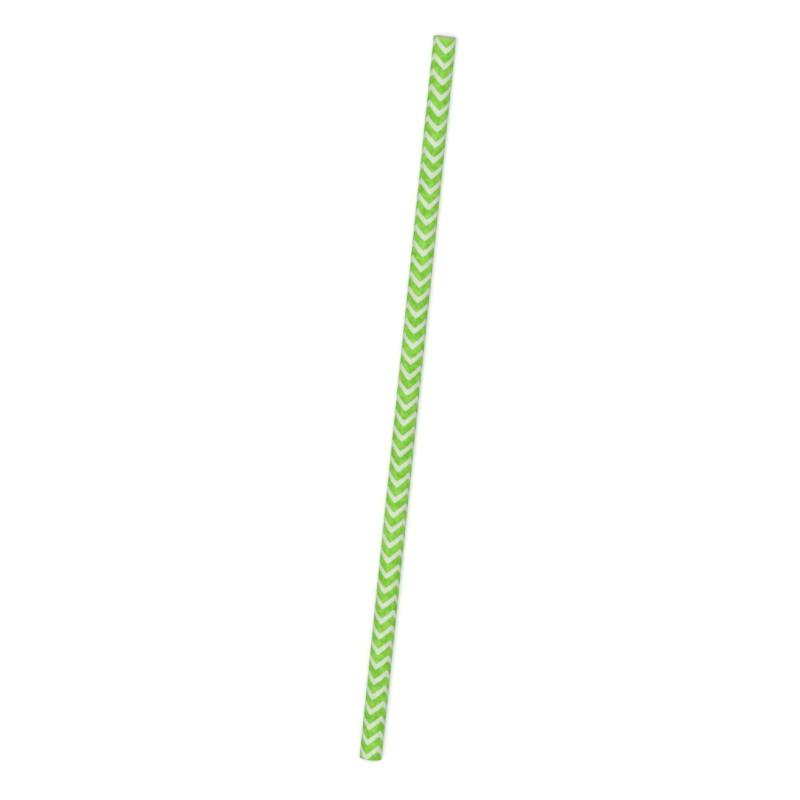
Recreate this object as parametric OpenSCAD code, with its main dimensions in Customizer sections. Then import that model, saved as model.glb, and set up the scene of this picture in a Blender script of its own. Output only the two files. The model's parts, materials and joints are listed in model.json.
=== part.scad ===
// Paper drinking straw: a spiral-wound tube of three glued plies, the outer one printed with zigzags.
// It lies on its side along X, with the drinking end at +X, and rests on z = 0.

/* [Tube] */
// Length of the straw, from cut end to cut end
straw_length = 197; // [80:1:260]
// Diameter of the bore that the drink passes through
bore_d = 5.2; // [4:0.1:12]
// Thickness of the inner ply, which lines the bore
inner_ply = 0.15; // [0.08:0.01:0.3]
// Thickness of the middle ply, which the other two cover
middle_ply = 0.15; // [0.08:0.01:0.3]
// Thickness of the printed outer ply
outer_ply = 0.1; // [0.06:0.01:0.2]
// Width of the slight flat on which the straw has settled, so that it doesn't roll
rest_flat = 1.0; // [0:0.1:1.2]

/* [Winding] */
// Angle between a wound strip's edge and the straw's axis
winding_angle = 42; // [35:1:55]
// Width of the open butt seam between two turns of a strip
seam_gap = 0.1; // [0.05:0.01:0.4]
// Depth of that seam, down to the glue that fills the rest
seam_depth = 0.05; // [0.02:0.01:0.08]
// How far round the straw the bore's seam lies from the outer one
inner_seam_turn = 150; // [0:5:355]

/* [Print] */
// Distance along the straw from one zigzag to the next
zigzag_pitch = 4.19; // [3:0.01:12]
// Width, along the straw, of the white stripe left bare between two zigzags
white_stripe = 1.65; // [0.3:0.05:2.5]
// Height of a zigzag, from its valleys to its peaks
zigzag_height = 2.8; // [0.5:0.1:6]
// Number of peaks round the straw
zigzag_peaks = 3; // [2:1:5]
// Distance from the drinking end to the first valley on the front
first_valley = 3.6; // [0:0.1:10]
// How far to the right of the front's middle that valley lies
first_valley_turn = 14; // [-60:1:60]
// How far the valleys wander round the straw over its length
zigzag_drift = 40; // [-180:1:180]
// Depth to which the ink soaks into the outer ply
ink_depth = 0.02; // [0.01:0.005:0.05]

/* [Hidden] */

$fn = 96;
paper_white = [0.93, 0.93, 0.88];
ink_green = [0.53, 0.80, 0.27];

bore_r = bore_d / 2;
straw_r = bore_r + inner_ply + middle_ply + outer_ply;
rest_height = sqrt(straw_r * straw_r - rest_flat * rest_flat / 4);

// A cutter runs this far past the surfaces that it cuts
overcut = 0.5;
// Green and white run this far into each other, so that they join as one solid
bite = 0.005;

// One turn of a strip takes this much of the straw's length
winding_lead = 2 * PI * straw_r / tan(winding_angle);
// The slit's width is measured round the straw, so it is wider than the gap between the edges
seam_half = seam_gap / 2 / cos(winding_angle);
seam_steps_per_turn = 24;
// The slit's steps cut corners, so its foot is drawn this much further out to stay above the glue
corner = 1 / cos(180 / seam_steps_per_turn);

// Each zigzag falls and rises once for each peak
arms = 2 * zigzag_peaks;
// The zigzag slab's rim clears the straw in the middle of each arm, too
rim_r = (straw_r + overcut) / cos(180 / arms);
rim_height = zigzag_height * rim_r / straw_r;

module ring(outer, inner, length) {
    difference() {
        cylinder(r = outer, h = length);
        translate([0, 0, -overcut]) cylinder(r = inner, h = length + 2 * overcut);
    }
}

// A slab between two crowns. Where a flat cut crosses the tube askew it draws a nearly straight
// line on the paper, so each arm of the zigzag is one flat facet, and a valley lies at angle 0.
module zigzag_slab(thickness) {
    rim = [for (i = [0 : arms - 1])
        let (turn = i * 360 / arms, side = i % 2 == 0 ? -1 : 1)
        [rim_r * cos(turn), rim_r * sin(turn), side * rim_height / 2]];
    lift = [0, 0, thickness];
    points = concat([[0, 0, 0]], rim, [lift], [for (p = rim) p + lift]);
    top = arms + 1;
    faces = [for (i = [1 : arms])
        let (j = i % arms + 1)
        each [[0, i, j], [top, top + j, top + i], [i, top + i, top + j], [i, top + j, j]]];
    polyhedron(points, faces);
}

// The printed zigzags from end to end, each a little turned from the last
module zigzags(grow) {
    thickness = zigzag_pitch - white_stripe;
    first = straw_length - first_valley + (zigzag_height + white_stripe) / 2;
    above = ceil((first_valley + thickness) / zigzag_pitch);
    below = ceil((first + zigzag_height) / zigzag_pitch);
    for (i = [-above : below])
        let (z = first - i * zigzag_pitch)
            translate([0, 0, z - grow])
                rotate(first_valley_turn + zigzag_drift * (z / straw_length - 1))
                    zigzag_slab(thickness + 2 * grow);
}

// The inked skin of the outer ply, up to a given radius and grown on its other sides
module print_fields(outer, grow = 0) {
    intersection() {
        ring(outer, straw_r - ink_depth - grow, straw_length);
        zigzags(grow);
    }
}

// A strip's butt seam: a helical slit between two radii, swept past both cut ends
module seam(inner, outer) {
    section = [[inner, -seam_half], [outer, -seam_half], [outer, seam_half], [inner, seam_half]];
    sweep = straw_length + 2 * overcut;
    steps = ceil(sweep / winding_lead * seam_steps_per_turn);
    points = [for (i = [0 : steps], p = section)
        let (z = sweep * i / steps - overcut, turn = 360 * z / winding_lead)
        [p.x * cos(turn) - p.y * sin(turn), p.x * sin(turn) + p.y * cos(turn), z]];
    last = 4 * steps;
    ends = [[0, 1, 2], [0, 2, 3], [last, last + 2, last + 1], [last, last + 3, last + 2]];
    sides = [for (i = [0 : steps - 1], k = [0 : 3])
        let (p = 4 * i + k, q = 4 * i + (k + 1) % 4)
        each [[p, p + 4, q + 4], [p, q + 4, q]]];
    polyhedron(points, concat(ends, sides));
}

// Everything behind the flat, which lies opposite the front
module behind_flat() {
    translate([-rest_height - overcut, -straw_r, -overcut])
        cube([overcut, 2 * straw_r, straw_length + 2 * overcut]);
}

// The wall stands up along Z here, with the front at angle 0
module wall() {
    difference() {
        union() {
            color(paper_white) difference() {
                ring(straw_r, bore_r, straw_length);
                print_fields(straw_r + overcut);
                behind_flat();
            }
            color(ink_green) difference() {
                print_fields(straw_r, bite);
                behind_flat();
            }
        }
        color(paper_white) {
            seam((straw_r - seam_depth) * corner, straw_r + overcut);
            rotate(inner_seam_turn) seam(bore_r - overcut, bore_r + seam_depth);
        }
    }
}

// Laid down, with the front up
module straw() {
    translate([-straw_length / 2, 0, rest_height])
        rotate([0, 90, 0]) rotate(180) wall();
}

straw();
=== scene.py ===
"""A paper drinking straw, lying on a white table and seen from above.

Lengths are in metres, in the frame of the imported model: the straw lies along X with its drinking
end at +X, rests on z = 0, and the front of its print faces up. Colours are linear.
"""
import json
import math

import bpy
from mathutils import Matrix, Vector


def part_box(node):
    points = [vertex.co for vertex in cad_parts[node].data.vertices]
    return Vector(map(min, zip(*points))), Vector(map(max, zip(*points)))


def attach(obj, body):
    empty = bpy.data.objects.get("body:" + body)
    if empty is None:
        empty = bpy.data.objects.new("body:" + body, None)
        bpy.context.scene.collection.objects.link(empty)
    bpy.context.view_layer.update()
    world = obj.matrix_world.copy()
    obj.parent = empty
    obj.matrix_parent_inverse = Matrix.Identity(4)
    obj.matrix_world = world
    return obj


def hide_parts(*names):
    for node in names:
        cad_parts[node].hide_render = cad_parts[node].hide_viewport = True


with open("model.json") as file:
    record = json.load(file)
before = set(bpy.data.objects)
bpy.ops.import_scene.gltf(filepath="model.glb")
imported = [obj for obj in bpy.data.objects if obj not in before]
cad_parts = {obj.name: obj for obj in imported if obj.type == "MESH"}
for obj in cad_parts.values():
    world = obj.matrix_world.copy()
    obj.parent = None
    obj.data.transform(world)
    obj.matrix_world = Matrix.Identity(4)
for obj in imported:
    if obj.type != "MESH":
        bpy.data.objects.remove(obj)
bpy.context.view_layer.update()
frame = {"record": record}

# The printed face
# The outer ply is coated white paper with lime-green zigzags printed on it before it is wound.
# The ink soaks in a little, so it is mottled, its edges are soft, and bare stripes stay white.
MM = 0.001
mounts = {mount["name"]: mount for mount in frame["record"]["mounts"]}
straw_r = mounts["outside"]["dims"]["r_mm"] * MM
bore_r = mounts["bore"]["dims"]["r_mm"] * MM
axis_height = mounts["bore"]["pos_m"][2]
low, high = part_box("straw")
straw_length = high.x - low.x

zigzag_pitch = 4.19 * MM
white_stripe = 1.65 * MM
zigzag_height = 2.8 * MM
zigzag_peaks = 3
first_valley = 3.6 * MM
first_valley_turn = math.radians(14)
zigzag_drift = math.radians(40)

# Shares of an arm by which its two points are blunted, and over which they round off
POINT_CUT = 0.02
POINT_ROUNDING = 0.12
# How far the ink's edge wanders, the size of its waves, and how soft it is
EDGE_WANDER = 0.22 * MM
EDGE_WAVE = 0.7 * MM
EDGE_SOFTNESS = 0.08 * MM
# How far ink has crept into the white stripe, and how much it tints the white there
CREEP = 0.45 * MM
CREEP_TINT = 0.16
# The share by which the print pales in the seam's gap. What stays there, over the bare ply below,
# is partly ink at the gap's edges and partly painted shade in the slit.
SEAM_GAP_PALING = 0.2

# The ink lies deeper in clouds and paler in specks, and both shade the bare coating as well
INK_GREEN = (0.285, 0.675, 0.08, 1)
INK_DEEP = (0.135, 0.49, 0.01, 1)
INK_PALE = (0.37, 0.70, 0.13, 1)
COATED_WHITE = (0.735, 0.82, 0.655, 1)
COATED_SHADE = (0.585, 0.71, 0.465, 1)
CLOUD_SIZE = 1.6 * MM
CLOUD_RANGE = (0.35, 0.7)
SPECK_SIZE = 0.35 * MM
SPECK_RANGE = (0.3, 0.7)
PALE_SHARE = 0.35
CLOUD_SHARE = 0.5
# The coating is matt, a little rougher in the specks and a little smoother under the ink
COATED_GLOSS = 0.1
COATED_ROUGHNESS = 0.55
SPECK_ROUGHNESS = 0.06
INK_SMOOTHNESS = 0.08
COATED_FIBRE = 0.25 * MM
FIBRE_HEIGHT = 0.02 * MM


def calc(tree, operation, *values):
    """Adds a Math node and returns its result; each value is a number or a socket."""
    node = tree.nodes.new("ShaderNodeMath")
    node.operation = operation
    for socket, value in zip(node.inputs, values):
        if isinstance(value, (int, float)):
            socket.default_value = value
        else:
            tree.links.new(value, socket)
    return node.outputs[0]


def ramp(tree, value, start, end, low_out=0.0, high_out=1.0):
    """Adds a smooth step from low_out at start to high_out at end."""
    node = tree.nodes.new("ShaderNodeMapRange")
    node.interpolation_type = "SMOOTHSTEP"
    tree.links.new(value, node.inputs["Value"])
    node.inputs["From Min"].default_value = start
    node.inputs["From Max"].default_value = end
    node.inputs["To Min"].default_value = low_out
    node.inputs["To Max"].default_value = high_out
    return node.outputs["Result"]


def grain(tree, place, size, detail, roughness=0.5):
    """Adds a noise whose blobs are about the given size across."""
    node = tree.nodes.new("ShaderNodeTexNoise")
    node.inputs["Scale"].default_value = 1 / size
    node.inputs["Detail"].default_value = detail
    node.inputs["Roughness"].default_value = roughness
    tree.links.new(place, node.inputs["Vector"])
    return node.outputs["Fac"]


def blend(tree, factor, first, second):
    """Mixes two colours, each of them a colour or a socket."""
    node = tree.nodes.new("ShaderNodeMix")
    node.data_type = "RGBA"
    tree.links.new(factor, node.inputs["Factor"])
    for name, colour in (("A", first), ("B", second)):
        socket = next(s for s in node.inputs if s.name == name and s.type == "RGBA")
        if isinstance(colour, tuple):
            socket.default_value = colour
        else:
            tree.links.new(colour, socket)
    return next(s for s in node.outputs if s.type == "RGBA")


def new_material(name):
    """Returns a material, its tree, its main shader and the object coordinates."""
    material = bpy.data.materials.new(name)
    material.use_nodes = True
    tree = material.node_tree
    shader = tree.nodes["Principled BSDF"]
    place = tree.nodes.new("ShaderNodeTexCoord").outputs["Object"]
    return material, tree, shader, place


def raise_fibres(tree, shader, fibre):
    """Raises the paper's fibres, from a noise of 0 to 1."""
    node = tree.nodes.new("ShaderNodeBump")
    node.inputs["Distance"].default_value = FIBRE_HEIGHT
    node.inputs["Strength"].default_value = 1
    tree.links.new(fibre, node.inputs["Height"])
    tree.links.new(node.outputs["Normal"], shader.inputs["Normal"])


def printed_paper():
    """White coated paper with the zigzags, drawn from the place along and round the straw."""
    material, tree, shader, place = new_material("printed paper")
    xyz = tree.nodes.new("ShaderNodeSeparateXYZ")
    tree.links.new(place, xyz.inputs[0])
    along, side, up = xyz.outputs

    # The angle is 0 at the front and grows towards -Y; the valleys wander round with the drift
    right = calc(tree, "MULTIPLY", side, -1)
    turn = calc(tree, "ARCTAN2", right, calc(tree, "SUBTRACT", up, axis_height))
    drift = calc(tree, "MULTIPLY", along, zigzag_drift / straw_length)
    valley_turn = calc(tree, "ADD", drift, first_valley_turn - zigzag_drift / 2)
    from_valley = calc(tree, "SUBTRACT", turn, valley_turn)

    # Each arm rises from 0 in a valley to 1 at a peak
    arm = calc(tree, "PINGPONG", calc(tree, "MULTIPLY", from_valley, zigzag_peaks / math.pi), 1)
    arm = calc(tree, "SMOOTH_MAX", arm, POINT_CUT, POINT_ROUNDING)
    arm = calc(tree, "SMOOTH_MIN", arm, 1 - POINT_CUT, POINT_ROUNDING)
    climb = calc(tree, "MULTIPLY", arm, zigzag_height)

    # Distance along the straw from the middle of the nearest white stripe
    stripe_at = calc(tree, "ADD", climb, straw_length / 2 - first_valley)
    pitches = calc(tree, "DIVIDE", calc(tree, "SUBTRACT", along, stripe_at), zigzag_pitch)
    off = calc(tree, "MULTIPLY", calc(tree, "PINGPONG", pitches, 0.5), zigzag_pitch)
    wave = calc(tree, "SUBTRACT", grain(tree, place, EDGE_WAVE, detail=3, roughness=0.6), 0.5)
    off = calc(tree, "MULTIPLY_ADD", wave, EDGE_WANDER, off)
    half = white_stripe / 2
    inked = ramp(tree, off, half - EDGE_SOFTNESS, half + EDGE_SOFTNESS)
    crept = ramp(tree, off, half - CREEP, half, high_out=CREEP_TINT)
    inked = calc(tree, "MAXIMUM", inked, crept)

    gap = tree.nodes.new("ShaderNodeAttribute")
    gap.attribute_name = "seam"
    # The seam's gap keeps most of the print: partly ink at its edges, partly painted shade in the
    # slit
    ink_and_shade_in_gap = calc(tree, "MULTIPLY_ADD", gap.outputs["Fac"], -SEAM_GAP_PALING, 1)
    inked = calc(tree, "MULTIPLY", inked, ink_and_shade_in_gap)

    cloud = ramp(tree, grain(tree, place, CLOUD_SIZE, detail=3, roughness=0.6), *CLOUD_RANGE)
    speck = ramp(tree, grain(tree, place, SPECK_SIZE, detail=3, roughness=0.7), *SPECK_RANGE)
    ink = blend(tree, cloud, INK_GREEN, INK_DEEP)
    ink = blend(tree, calc(tree, "MULTIPLY", speck, PALE_SHARE), ink, INK_PALE)
    specked = calc(tree, "MULTIPLY", speck, 1 - CLOUD_SHARE)
    shade = calc(tree, "MULTIPLY_ADD", cloud, CLOUD_SHARE, specked)
    unprinted = blend(tree, shade, COATED_WHITE, COATED_SHADE)
    tree.links.new(blend(tree, inked, unprinted, ink), shader.inputs["Base Color"])

    rough = calc(tree, "MULTIPLY_ADD", speck, SPECK_ROUGHNESS, COATED_ROUGHNESS)
    rough = calc(tree, "MULTIPLY_ADD", inked, -INK_SMOOTHNESS, rough)
    tree.links.new(rough, shader.inputs["Roughness"])
    shader.inputs["Specular IOR Level"].default_value = COATED_GLOSS
    raise_fibres(tree, shader, grain(tree, place, COATED_FIBRE, detail=4, roughness=0.65))
    return material


printed = printed_paper()

# The bare paper
# Uncoated craft-white paper lines the bore and shows at the cut ends, where a saw has left a
# fine nap of fibres and faint lines between the glued plies.
PAPER = (0.80, 0.78, 0.69, 1)
PAPER_SHADE = (0.70, 0.67, 0.56, 1)
PAPER_CLOUD = 1.8 * MM
PAPER_CLOUD_RANGE = (0.3, 0.75)
PAPER_FIBRE = 0.18 * MM
PAPER_FIBRE_RANGE = (0.3, 0.7)
FIBRE_SHARE = 0.6
PAPER_ROUGHNESS = 0.7
FIBRE_ROUGHNESS = 0.15


def uncoated_paper():
    """Paper with its fibres open, a little darker in the clouds and between the fibres."""
    material, tree, shader, place = new_material("bare paper")
    cloud = grain(tree, place, PAPER_CLOUD, detail=4, roughness=0.6)
    cloud = ramp(tree, cloud, *PAPER_CLOUD_RANGE)
    fibre = grain(tree, place, PAPER_FIBRE, detail=5, roughness=0.7)
    fibre = ramp(tree, fibre, *PAPER_FIBRE_RANGE)
    clouded = calc(tree, "MULTIPLY", cloud, 1 - FIBRE_SHARE)
    tone = calc(tree, "MULTIPLY_ADD", fibre, FIBRE_SHARE, clouded)
    tree.links.new(blend(tree, tone, PAPER, PAPER_SHADE), shader.inputs["Base Color"])
    rough = calc(tree, "MULTIPLY_ADD", fibre, FIBRE_ROUGHNESS, PAPER_ROUGHNESS)
    tree.links.new(rough, shader.inputs["Roughness"])
    raise_fibres(tree, shader, fibre)
    return material


uncoated = uncoated_paper()

# The wound wall
# Three strips of paper are glued together as they wind round a steel rod, each strip's edges
# butting with a hairline gap, and the endless tube is sawn into straws while it turns.
winding_angle = math.radians(42)
seam_gap = 0.10 * MM
FULL_TURN = 2 * math.pi

tree = bpy.data.node_groups.new("wound wall", "GeometryNodeTree")
sizes = (
    ("Length", straw_length),
    ("Outer radius", straw_r),
    ("Axis height", axis_height),
    ("Bore radius", bore_r),
    ("Outer ply", 0.10 * MM),
    ("Middle ply", 0.15 * MM),
    ("Winding lead", FULL_TURN * straw_r / math.tan(winding_angle)),
    ("Seam half width", seam_gap / 2 / math.cos(winding_angle)),
    ("Seam depth", 0.05 * MM),
    ("Bore seam turn", math.radians(150)),
    ("Middle seam turn", math.radians(255)),
    ("Middle seam reach", 0.22 * MM),
    ("Middle seam dent", 0.012 * MM),
    ("Ply unevenness", 0.025 * MM),
    ("Edge nap", 0.03 * MM),
    ("Nap reach", 0.08 * MM),
    ("Rim rounding", 0.035 * MM),
    ("Ply line depth", 0.03 * MM),
    ("Ply line half width", 0.012 * MM),
)
counts = (("Columns", 96), ("Outer rows", 390), ("Bore rows", 260), ("Rim steps", 32))
for name, _ in sizes:
    tree.interface.new_socket(name, in_out="INPUT", socket_type="NodeSocketFloat")
for name, _ in counts:
    tree.interface.new_socket(name, in_out="INPUT", socket_type="NodeSocketInt")
for name in ("Printed", "Bare"):
    tree.interface.new_socket(name, in_out="INPUT", socket_type="NodeSocketMaterial")
tree.interface.new_socket("Wall", in_out="OUTPUT", socket_type="NodeSocketGeometry")
given = tree.nodes.new("NodeGroupInput").outputs


def add(kind, **values):
    """Adds a node, with its inputs set by name from numbers, text or sockets."""
    node = tree.nodes.new(kind)
    for name, value in values.items():
        socket = node.inputs[name.replace("_", " ")]
        if isinstance(value, bpy.types.NodeSocket):
            tree.links.new(value, socket)
        else:
            socket.default_value = value
    return node


def xyz_of(vector):
    return add("ShaderNodeSeparateXYZ", Vector=vector).outputs


def vector_of(x, y, z):
    return add("ShaderNodeCombineXYZ", X=x, Y=y, Z=z).outputs[0]


def share_left(distance, reach):
    """1 at no distance, falling evenly to 0 at the reach and beyond."""
    left = calc(tree, "SUBTRACT", 1, calc(tree, "DIVIDE", distance, reach))
    return calc(tree, "MAXIMUM", left, 0)


def gauss(distance, width):
    """A smooth bump, 1 in the middle and near 0 beyond twice the width."""
    ratio = calc(tree, "DIVIDE", distance, width)
    square = calc(tree, "MULTIPLY", ratio, ratio)
    return calc(tree, "EXPONENT", calc(tree, "MULTIPLY", square, -1))


def patch(columns, rows, flip):
    """A flat patch. Returns it with its two fractions: round the straw, and from row to row."""
    across = calc(tree, "ADD", columns, 1)
    down = calc(tree, "ADD", rows, 1)
    grid = add("GeometryNodeMeshGrid", Size_X=1.0, Size_Y=1.0, Vertices_X=across, Vertices_Y=down)
    mesh = grid.outputs["Mesh"]
    if flip:
        mesh = add("GeometryNodeFlipFaces", Mesh=mesh).outputs[0]
    x, y, _ = xyz_of(add("GeometryNodeInputPosition").outputs[0])
    return mesh, calc(tree, "ADD", x, 0.5), calc(tree, "ADD", y, 0.5)


def store_map(mesh, map_u, map_v):
    """Lays a patch out on the baking map, whose seams follow the columns."""
    node = add("GeometryNodeStoreNamedAttribute", Geometry=mesh, Name="OFBake")
    node.data_type = "FLOAT2"
    node.domain = "CORNER"
    tree.links.new(vector_of(map_u, map_v, 0.0), node.inputs["Value"])
    return node.outputs[0]


def place_patch(mesh, around, along, depth):
    """Moves a patch to its unrolled place: turns round, metres along, share of the wall's depth."""
    place = vector_of(around, along, depth)
    return add("GeometryNodeSetPosition", Geometry=mesh, Position=place).outputs[0]


half_length = calc(tree, "MULTIPLY", given["Length"], 0.5)
wall_thickness = calc(tree, "SUBTRACT", given["Outer radius"], given["Bore radius"])
half_run = calc(tree, "SUBTRACT", half_length, given["Rim rounding"])

# Outside, laid out in three lengths on the baking map so that the print stays sharp
MAP_LENGTHS = 3
MAP_BAND = 0.28
MAP_GAP = 0.004
mesh, u, v = patch(given["Columns"], given["Outer rows"], flip=False)
face_v = add("GeometryNodeFieldOnDomain")
face_v.domain = "FACE"
tree.links.new(v, face_v.inputs[0])
length_index = calc(tree, "FLOOR", calc(tree, "MULTIPLY", face_v.outputs[0], MAP_LENGTHS))
map_u = calc(tree, "SUBTRACT", calc(tree, "MULTIPLY", v, MAP_LENGTHS), length_index)
band_foot = calc(tree, "MULTIPLY", length_index, MAP_BAND)
mesh = store_map(mesh, map_u, calc(tree, "MULTIPLY_ADD", u, MAP_BAND - MAP_GAP, band_foot))
along = calc(tree, "MULTIPLY", calc(tree, "MULTIPLY_ADD", v, 2, -1), half_run)
patches = [place_patch(mesh, u, along, 0.0)]

# Bore, in a lower band of the map
BORE_BAND = 0.08
BORE_BAND_FOOT = 0.85
mesh, u, v = patch(given["Columns"], given["Bore rows"], flip=True)
mesh = store_map(mesh, v, calc(tree, "MULTIPLY_ADD", u, BORE_BAND, BORE_BAND_FOOT))
along = calc(tree, "MULTIPLY", calc(tree, "MULTIPLY_ADD", v, 2, -1), half_run)
patches.append(place_patch(mesh, u, along, 1.0))

# Cut ends: rounded a little at both rims, with a fine groove where two plies meet
END_BAND = 0.025
outer_line = given["Outer ply"]
inner_line = calc(tree, "ADD", outer_line, given["Middle ply"])
for end, band_foot in ((1, 0.94), (-1, 0.97)):
    mesh, u, v = patch(given["Columns"], given["Rim steps"], flip=end < 0)
    mesh = store_map(mesh, u, calc(tree, "MULTIPLY_ADD", v, END_BAND, band_foot))
    depth = calc(tree, "MULTIPLY", v, wall_thickness)
    from_rim = calc(tree, "MINIMUM", depth, calc(tree, "SUBTRACT", wall_thickness, depth))
    left = share_left(from_rim, given["Rim rounding"])
    dip = calc(tree, "MULTIPLY", calc(tree, "MULTIPLY", left, left), given["Rim rounding"])
    for ply_line in (outer_line, inner_line):
        off_line = calc(tree, "ABSOLUTE", calc(tree, "SUBTRACT", depth, ply_line))
        groove = share_left(off_line, given["Ply line half width"])
        dip = calc(tree, "MULTIPLY_ADD", groove, given["Ply line depth"], dip)
    along = calc(tree, "MULTIPLY", calc(tree, "SUBTRACT", half_length, dip), end)
    patches.append(place_patch(mesh, u, along, v))

join = tree.nodes.new("GeometryNodeJoinGeometry")
for unrolled in patches:
    tree.links.new(unrolled, join.inputs[0])

# Keep each face's share of the wall's depth, by which it gets its paper at the end
around, along, depth = xyz_of(add("GeometryNodeInputPosition").outputs[0])
keep = tree.nodes.new("GeometryNodeCaptureAttribute")
keep.capture_items.new("FLOAT", "depth")
keep.domain = "FACE"
tree.links.new(join.outputs[0], keep.inputs["Geometry"])
tree.links.new(depth, keep.inputs["depth"])

# Columns crowd together at the two open seams, so that their edges come out crisp
CROWDING = 0.85
CROWD_WIDTH = 0.35
even_turn = calc(tree, "MULTIPLY", around, FULL_TURN)
turn = even_turn
for seam_at in (0.0, given["Bore seam turn"]):
    off = calc(tree, "WRAP", calc(tree, "SUBTRACT", even_turn, seam_at), math.pi, -math.pi)
    pull = calc(tree, "MULTIPLY", off, gauss(off, CROWD_WIDTH))
    turn = calc(tree, "SUBTRACT", turn, calc(tree, "MULTIPLY", pull, CROWDING))

# The columns follow the winding, and this is each point's direction from the straw's axis
leads = calc(tree, "DIVIDE", calc(tree, "ADD", along, half_length), given["Winding lead"])
wound_turn = calc(tree, "ADD", turn, calc(tree, "MULTIPLY", leads, FULL_TURN))
across = calc(tree, "MULTIPLY", calc(tree, "SINE", wound_turn), -1)
upward = calc(tree, "COSINE", wound_turn)


def seam_distance(seam_at, radius):
    """Distance round the straw from a seam that is seam_at round from the outer one."""
    off = calc(tree, "WRAP", calc(tree, "SUBTRACT", turn, seam_at), math.pi, -math.pi)
    return calc(tree, "MULTIPLY", calc(tree, "ABSOLUTE", off), radius)


SLIT_EDGE = 0.25


def slit(distance):
    """1 inside a seam's gap and 0 on the paper, with a steep edge between."""
    edge = add("ShaderNodeMapRange", Value=distance, To_Min=1.0, To_Max=0.0)
    edge.interpolation_type = "SMOOTHSTEP"
    for name, half_widths in (("From Min", 1 - SLIT_EDGE), ("From Max", 1 + SLIT_EDGE)):
        edge_at = calc(tree, "MULTIPLY", given["Seam half width"], half_widths)
        tree.links.new(edge_at, edge.inputs[name])
    return edge.outputs["Result"]


# The paper isn't quite even, the slits run down to the glue, and the hidden seam leaves a dent
UNEVEN_WAVE = 9 * MM
NAP_FIBRE = 0.25 * MM
surface_y = calc(tree, "MULTIPLY", across, given["Outer radius"])
surface_z = calc(tree, "MULTIPLY", upward, given["Outer radius"])
on_surface = vector_of(along, surface_y, surface_z)
slow = calc(tree, "SUBTRACT", grain(tree, on_surface, UNEVEN_WAVE, detail=2), 0.5)
quick = calc(tree, "SUBTRACT", grain(tree, on_surface, NAP_FIBRE, detail=3), 0.5)
uneven = calc(tree, "MULTIPLY", slow, given["Ply unevenness"])

outer_slit = slit(seam_distance(0.0, given["Outer radius"]))
bore_slit = slit(seam_distance(given["Bore seam turn"], given["Bore radius"]))
middle_seam = seam_distance(given["Middle seam turn"], given["Outer radius"])
dent = gauss(middle_seam, given["Middle seam reach"])
dent = calc(tree, "MULTIPLY", dent, given["Middle seam dent"])
outer = calc(tree, "ADD", given["Outer radius"], uneven)
outer = calc(tree, "SUBTRACT", outer, calc(tree, "MULTIPLY", outer_slit, given["Seam depth"]))
outer = calc(tree, "SUBTRACT", outer, dent)
bore = calc(tree, "ADD", given["Bore radius"], uneven)
bore = calc(tree, "ADD", bore, calc(tree, "MULTIPLY", bore_slit, given["Seam depth"]))
radius = calc(tree, "MULTIPLY_ADD", calc(tree, "SUBTRACT", bore, outer), depth, outer)

# The saw leaves its nap on the last tenth of a millimetre
from_end = calc(tree, "SUBTRACT", calc(tree, "ABSOLUTE", along), half_length)
nap = calc(tree, "MULTIPLY", gauss(from_end, given["Nap reach"]), quick)
nap = calc(tree, "MULTIPLY", nap, given["Edge nap"])
napped = calc(tree, "ADD", along, calc(tree, "MULTIPLY", nap, calc(tree, "SIGN", along)))

# The straw has settled on a slight flat
height = calc(tree, "MULTIPLY_ADD", upward, radius, given["Axis height"])
height = calc(tree, "MAXIMUM", height, 0)
wound = vector_of(napped, calc(tree, "MULTIPLY", across, radius), height)

# The patches are welded where they meet, and each face gets its paper by its depth in the wall
WELD_DISTANCE = 0.001 * MM
PRINTED_DEPTH = 0.001
mark = add("GeometryNodeStoreNamedAttribute", Name="seam", Value=outer_slit)
tree.links.new(keep.outputs["Geometry"], mark.inputs["Geometry"])
roll = add("GeometryNodeSetPosition", Geometry=mark.outputs[0], Position=wound)
weld = add("GeometryNodeMergeByDistance", Geometry=roll.outputs[0], Distance=WELD_DISTANCE)
real = add("GeometryNodeRealizeInstances", Geometry=weld.outputs[0])
coat = add("GeometryNodeSetMaterial", Geometry=real.outputs[0], Material=given["Printed"])
inside = calc(tree, "GREATER_THAN", keep.outputs["depth"], PRINTED_DEPTH)
lining = add("GeometryNodeSetMaterial", Geometry=coat.outputs[0], Selection=inside)
tree.links.new(given["Bare"], lining.inputs["Material"])
tree.links.new(lining.outputs[0], tree.nodes.new("NodeGroupOutput").inputs[0])

straw = bpy.data.objects.new("wound_straw", bpy.data.meshes.new("wound_straw"))
bpy.context.scene.collection.objects.link(straw)
winding = straw.modifiers.new("winding", "NODES")
winding.node_group = tree
identifier = {s.name: s.identifier for s in tree.interface.items_tree if s.in_out == "INPUT"}
for name, value in sizes + counts + (("Printed", printed), ("Bare", uncoated)):
    winding[identifier[name]] = value
evaluated = straw.evaluated_get(bpy.context.evaluated_depsgraph_get())
straw.data = bpy.data.meshes.new_from_object(evaluated)
straw.modifiers.remove(winding)
# The grids bring an empty first material slot, which no face uses
straw.data.materials.pop(index=0)
SHARP_ANGLE = math.radians(40)
straw.data.shade_smooth()
straw.data.set_sharp_from_angle(angle=SHARP_ANGLE)

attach(straw, "root")
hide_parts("straw")

# The table
# A white sheet lies under the straw, and the white room shows beyond it. What the camera sees of
# the sheet is lifted to white by a little light of its own, and it keeps the straw's soft shadow.
TABLE_SIZE = 0.8
TABLE_WHITE = (0.83, 0.83, 0.83, 1)
TABLE_ROUGHNESS = 0.5
TABLE_LIFT = 0.15


def seen_directly(tree):
    """1 for rays from the camera, and for what is mirrored or seen through, else 0."""
    path = tree.nodes.new("ShaderNodeLightPath").outputs
    shine = calc(tree, "MAXIMUM", path["Is Glossy Ray"], path["Is Transmission Ray"])
    return calc(tree, "MAXIMUM", path["Is Camera Ray"], shine)


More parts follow.
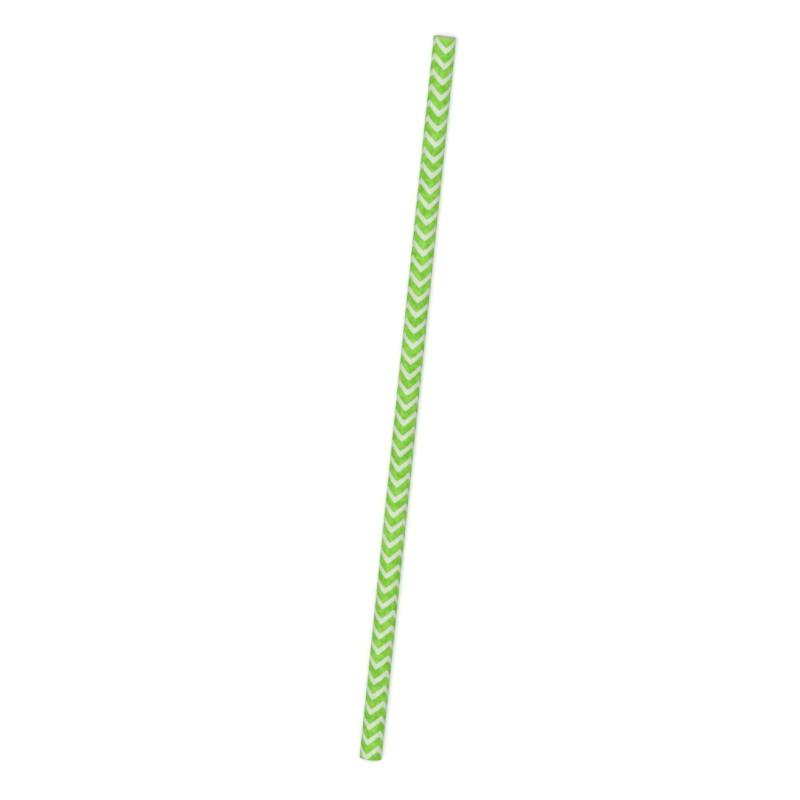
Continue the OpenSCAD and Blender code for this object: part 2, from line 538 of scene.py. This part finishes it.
sheet, sheet_tree, shader, _ = new_material("table white")
shader.inputs["Base Color"].default_value = TABLE_WHITE
shader.inputs["Roughness"].default_value = TABLE_ROUGHNESS
glow = sheet_tree.nodes.new("ShaderNodeEmission")
lift = calc(sheet_tree, "MULTIPLY", seen_directly(sheet_tree), TABLE_LIFT)
sheet_tree.links.new(lift, glow.inputs["Strength"])
both = sheet_tree.nodes.new("ShaderNodeAddShader")
sheet_tree.links.new(shader.outputs[0], both.inputs[0])
sheet_tree.links.new(glow.outputs[0], both.inputs[1])
sheet_tree.links.new(both.outputs[0], sheet_tree.nodes["Material Output"].inputs["Surface"])

reach = TABLE_SIZE / 2
corners = [(-reach, -reach, 0), (reach, -reach, 0), (reach, reach, 0), (-reach, reach, 0)]
table_mesh = bpy.data.meshes.new("table")
table_mesh.from_pydata(corners, [], [(0, 1, 2, 3)])
table_mesh.materials.append(sheet)
table = bpy.data.objects.new("table", table_mesh)
bpy.context.scene.collection.objects.link(table)

# The light
# A wide softbox hangs high over the table, a little towards the drinking end and to the left,
# and the white room fills in all round.
ROOM_LIGHT = 0.38
SOFTBOX_SIZE = 1.1
SOFTBOX_POWER = 27.5
SOFTBOX_PLACE = (0.15, 0.12, 2.0)

world = bpy.data.worlds.new("white room")
bpy.context.scene.world = world
world.use_nodes = True
room = world.node_tree
background = room.nodes["Background"]
background.inputs["Color"].default_value = (1, 1, 1, 1)
strength = calc(room, "MULTIPLY_ADD", seen_directly(room), 1 - ROOM_LIGHT, ROOM_LIGHT)
room.links.new(strength, background.inputs["Strength"])

softbox = bpy.data.lights.new("softbox", "AREA")
softbox.size = SOFTBOX_SIZE
softbox.energy = SOFTBOX_POWER
lamp = bpy.data.objects.new("softbox", softbox)
lamp.location = SOFTBOX_PLACE
lamp.rotation_euler = lamp.location.to_track_quat("Z", "Y").to_euler()
lamp.visible_camera = False
bpy.context.scene.collection.objects.link(lamp)

# The camera
# It looks down on the straw and leans towards the drinking end, where the bore just shows. Its
# place, roll and lens follow from the pixels at which the photograph shows the two ends' middles.
PICTURE_SIZE = 800
TOP_PIXEL = Vector((445.0, 36.8))
BOTTOM_PIXEL = Vector((370.5, 758.2))
CAMERA_TILT = math.radians(9)
CAMERA_DISTANCE = 1.435
SENSOR = 36.0


def from_centre(pixel):
    return Vector((pixel.x - PICTURE_SIZE / 2, PICTURE_SIZE / 2 - pixel.y))


# Depths of the two ends, and the straw's run and middle seen at those depths
closer = straw_length / 2 * math.sin(CAMERA_TILT)
top = from_centre(TOP_PIXEL) * (CAMERA_DISTANCE - closer)
bottom = from_centre(BOTTOM_PIXEL) * (CAMERA_DISTANCE + closer)
run_seen = top - bottom
focal_pixels = run_seen.length / (straw_length * math.cos(CAMERA_TILT))
middle = (top + bottom) / 2 / focal_pixels

outward = Vector((math.sin(CAMERA_TILT), 0, math.cos(CAMERA_TILT)))
along_up = Vector((math.cos(CAMERA_TILT), 0, -math.sin(CAMERA_TILT)))
camera_roll = math.atan2(run_seen.x, run_seen.y)
picture_up = Matrix.Rotation(camera_roll, 3, outward) @ along_up
picture_right = picture_up.cross(outward)
eye = Vector((0, 0, axis_height)) - picture_right * middle.x - picture_up * middle.y
eye = eye + outward * CAMERA_DISTANCE

camera = bpy.data.objects.new("camera", bpy.data.cameras.new("camera"))
camera.data.sensor_width = SENSOR
camera.data.lens = SENSOR * focal_pixels / PICTURE_SIZE
turned = Matrix((picture_right, picture_up, outward)).transposed().to_4x4()
camera.matrix_world = Matrix.Translation(eye) @ turned
bpy.context.scene.collection.objects.link(camera)
bpy.context.scene.camera = camera

bpy.context.scene.view_settings.view_transform = "Standard"
